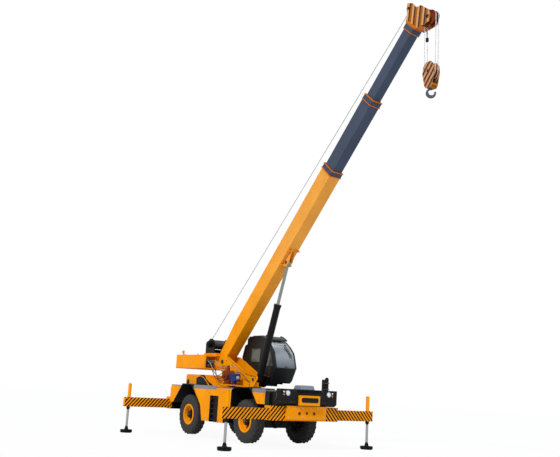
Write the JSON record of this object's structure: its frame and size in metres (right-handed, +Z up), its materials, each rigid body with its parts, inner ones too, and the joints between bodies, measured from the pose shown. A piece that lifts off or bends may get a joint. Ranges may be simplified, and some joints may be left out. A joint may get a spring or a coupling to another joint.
{
  "type": "mobile crane",
  "caption": "Two-axle rough-terrain crane on extended outriggers, with a raised telescopic boom, side cab, counterweight tail and hook block.",
  "frame": {"origin": "bottom centre of the whole machine, on the ground under the outrigger floats", "axes": "+X forward, along the boom; +Y to the machine's left; +Z up"},
  "size_m": [12.4848, 6.092, 13.2306],
  "materials": {
    "body_yellow": "satin",
    "black_paint": "satin",
    "boom_grey": "satin",
    "deck_grey": "matt",
    "gearbox_red": "satin",
    "brake_blue": "satin",
    "wheel_yellow": "satin",
    "tyre": "matt",
    "steel": "machined",
    "cast_iron": "rough",
    "glass": "clear",
    "lamp": "clear",
    "plastic_black": "matt"
  },
  "bodies": {
    "chassis": {"chassis_frame": "black_paint", "slew_ring": "cast_iron", "outrigger_boxes": "body_yellow", "fenders": "black_paint", "side_panels": "body_yellow", "corner_panels": "body_yellow", "ladders": "black_paint", "deck_plates": "deck_grey", "engine_hood": "body_yellow", "hood_grilles": "plastic_black", "engine_block": "cast_iron", "lamp_housings": "black_paint", "headlamps": "lamp", "front_plate": "body_yellow", "intake_stack": "black_paint", "axles": "black_paint"},
    "superstructure": {"turntable_frame": "body_yellow", "counterweight": "body_yellow", "valve_block": "black_paint", "beacon": "lamp", "winch_frame": "black_paint", "slew_gearbox": "gearbox_red", "slew_brake": "brake_blue", "cab_shell": "black_paint", "cab_glass": "glass", "cab_interior": "plastic_black"},
    "cab_door": {"cab_door": "black_paint", "door_glass": "glass"},
    "winch_drum": {"winch_drum": "steel"},
    "boom_base": {"boom_base": "body_yellow"},
    "boom_section_2": {"boom_section_2": "boom_grey"},
    "boom_section_3": {"boom_section_3": "boom_grey", "boom_head": "body_yellow", "line_sheave": "steel"},
    "hoist_sheaves": {"hoist_sheaves": "steel"},
    "hook_block": {"hook_block": "body_yellow"},
    "hook": {"hook": "steel"},
    "lift_rod": {"lift_rod": "steel"},
    "lift_barrel": {"lift_barrel": "black_paint"},
    "outrigger_beam_front_right": {"outrigger_beam_front_right": "body_yellow"},
    "jack_front_right": {"jack_front_right": "steel"},
    "knuckle_front_right": {"knuckle_front_right": "black_paint"},
    "wheel_front_right": {"wheel_front_right": "wheel_yellow", "tyre_front_right": "tyre"},
    "outrigger_beam_front_left": {"outrigger_beam_front_left": "body_yellow"},
    "jack_front_left": {"jack_front_left": "steel"},
    "knuckle_front_left": {"knuckle_front_left": "black_paint"},
    "wheel_front_left": {"wheel_front_left": "wheel_yellow", "tyre_front_left": "tyre"},
    "outrigger_beam_rear_right": {"outrigger_beam_rear_right": "body_yellow"},
    "jack_rear_right": {"jack_rear_right": "steel"},
    "knuckle_rear_right": {"knuckle_rear_right": "black_paint"},
    "wheel_rear_right": {"wheel_rear_right": "wheel_yellow", "tyre_rear_right": "tyre"},
    "outrigger_beam_rear_left": {"outrigger_beam_rear_left": "body_yellow"},
    "jack_rear_left": {"jack_rear_left": "steel"},
    "knuckle_rear_left": {"knuckle_rear_left": "black_paint"},
    "wheel_rear_left": {"wheel_rear_left": "wheel_yellow", "tyre_rear_left": "tyre"}
  },
  "joints": [
    {"name": "slew", "type": "hinge", "parent": "chassis", "child": "superstructure", "pos_m": [-2.46237, 0, 1.81], "axis": [0, 0, 1], "continuous": true},
    {"name": "door_slide", "type": "slide", "parent": "superstructure", "child": "cab_door", "axis": [1, 0, 0], "range_m": [-0.65, 0]},
    {"name": "winch_turn", "type": "hinge", "parent": "superstructure", "child": "winch_drum", "pos_m": [-4.43237, 0, 3.285], "axis": [0, 1, 0], "continuous": true},
    {"name": "boom_luff", "type": "hinge", "parent": "superstructure", "child": "boom_base", "pos_m": [-3.69237, 0, 2.66], "axis": [0, -1, 0], "range_deg": [-37.4, 25.5]},
    {"name": "section_2_extend", "type": "slide", "parent": "boom_base", "child": "boom_section_2", "axis": [0.6892, 0, 0.7245], "range_m": [-2.3, 3.6]},
    {"name": "section_3_extend", "type": "slide", "parent": "boom_section_2", "child": "boom_section_3", "axis": [0.6892, 0, 0.7245], "range_m": [-2.18, 3.7]},
    {"name": "hoist_plumb", "type": "hinge", "parent": "boom_section_3", "child": "hoist_sheaves", "pos_m": [6.01737, 0, 12.51001], "axis": [0, -1, 0], "range_deg": [-26, 37.9]},
    {"name": "hoist", "type": "slide", "parent": "hoist_sheaves", "child": "hook_block", "axis": [0, 0, -1], "range_m": [-0.8, 9]},
    {"name": "hook_swivel", "type": "hinge", "parent": "hook_block", "child": "hook", "pos_m": [6.01737, 0, 10.35], "axis": [0, 0, 1], "continuous": true},
    {"name": "lift_rod_pin", "type": "hinge", "parent": "boom_base", "child": "lift_rod", "pos_m": [-0.34497, 0, 5.99019], "axis": [0, -1, 0], "range_deg": [-6.47, 4.51]},
    {"name": "lift_extend", "type": "slide", "parent": "lift_rod", "child": "lift_barrel", "axis": [-0.3193, 0, -0.9477], "range_m": [-1.2698, 0.869]},
    {"name": "outrigger_extend_front_right", "type": "slide", "parent": "chassis", "child": "outrigger_beam_front_right", "axis": [0, -1, 0], "range_m": [-1.43, 0]},
    {"name": "jack_extend_front_right", "type": "slide", "parent": "outrigger_beam_front_right", "child": "jack_front_right", "axis": [0, 0, -1], "range_m": [-0.55, 0]},
    {"name": "steer_front_right", "type": "hinge", "parent": "chassis", "child": "knuckle_front_right", "pos_m": [-0.60737, -0.77, 0.761], "axis": [0, 0, 1], "range_deg": [-25, 25]},
    {"name": "wheel_turn_front_right", "type": "hinge", "parent": "knuckle_front_right", "child": "wheel_front_right", "pos_m": [-0.60737, -1.038, 0.761], "axis": [0, 1, 0], "continuous": true},
    {"name": "outrigger_extend_front_left", "type": "slide", "parent": "chassis", "child": "outrigger_beam_front_left", "axis": [0, 1, 0], "range_m": [-1.43, 0]},
    {"name": "jack_extend_front_left", "type": "slide", "parent": "outrigger_beam_front_left", "child": "jack_front_left", "axis": [0, 0, -1], "range_m": [-0.55, 0]},
    {"name": "steer_front_left", "type": "hinge", "parent": "chassis", "child": "knuckle_front_left", "pos_m": [-0.60737, 0.77, 0.761], "axis": [0, 0, 1], "range_deg": [-25, 25]},
    {"name": "wheel_turn_front_left", "type": "hinge", "parent": "knuckle_front_left", "child": "wheel_front_left", "pos_m": [-0.60737, 1.038, 0.761], "axis": [0, 1, 0], "continuous": true},
    {"name": "outrigger_extend_rear_right", "type": "slide", "parent": "chassis", "child": "outrigger_beam_rear_right", "axis": [0, -1, 0], "range_m": [-1.43, 0]},
    {"name": "jack_extend_rear_right", "type": "slide", "parent": "outrigger_beam_rear_right", "child": "jack_rear_right", "axis": [0, 0, -1], "range_m": [-0.55, 0]},
    {"name": "steer_rear_right", "type": "hinge", "parent": "chassis", "child": "knuckle_rear_right", "pos_m": [-4.21737, -0.77, 0.761], "axis": [0, 0, 1], "range_deg": [-25, 25]},
    {"name": "wheel_turn_rear_right", "type": "hinge", "parent": "knuckle_rear_right", "child": "wheel_rear_right", "pos_m": [-4.21737, -1.038, 0.761], "axis": [0, 1, 0], "continuous": true},
    {"name": "outrigger_extend_rear_left", "type": "slide", "parent": "chassis", "child": "outrigger_beam_rear_left", "axis": [0, 1, 0], "range_m": [-1.43, 0]},
    {"name": "jack_extend_rear_left", "type": "slide", "parent": "outrigger_beam_rear_left", "child": "jack_rear_left", "axis": [0, 0, -1], "range_m": [-0.55, 0]},
    {"name": "steer_rear_left", "type": "hinge", "parent": "chassis", "child": "knuckle_rear_left", "pos_m": [-4.21737, 0.77, 0.761], "axis": [0, 0, 1], "range_deg": [-25, 25]},
    {"name": "wheel_turn_rear_left", "type": "hinge", "parent": "knuckle_rear_left", "child": "wheel_rear_left", "pos_m": [-4.21737, 1.038, 0.761], "axis": [0, 1, 0], "continuous": true}
  ],
  "couplings": [
    {"joint": "hoist_plumb", "follows": "boom_luff", "ratio": -1},
    {"joint": "lift_rod_pin", "follows": "boom_luff", "ratio": 0.165},
    {"joint": "lift_extend", "follows": "boom_luff", "m_per_rad": 1.93},
    {"joint": "steer_front_left", "follows": "steer_front_right", "ratio": 1},
    {"joint": "steer_rear_left", "follows": "steer_rear_right", "ratio": 1}
  ]
}
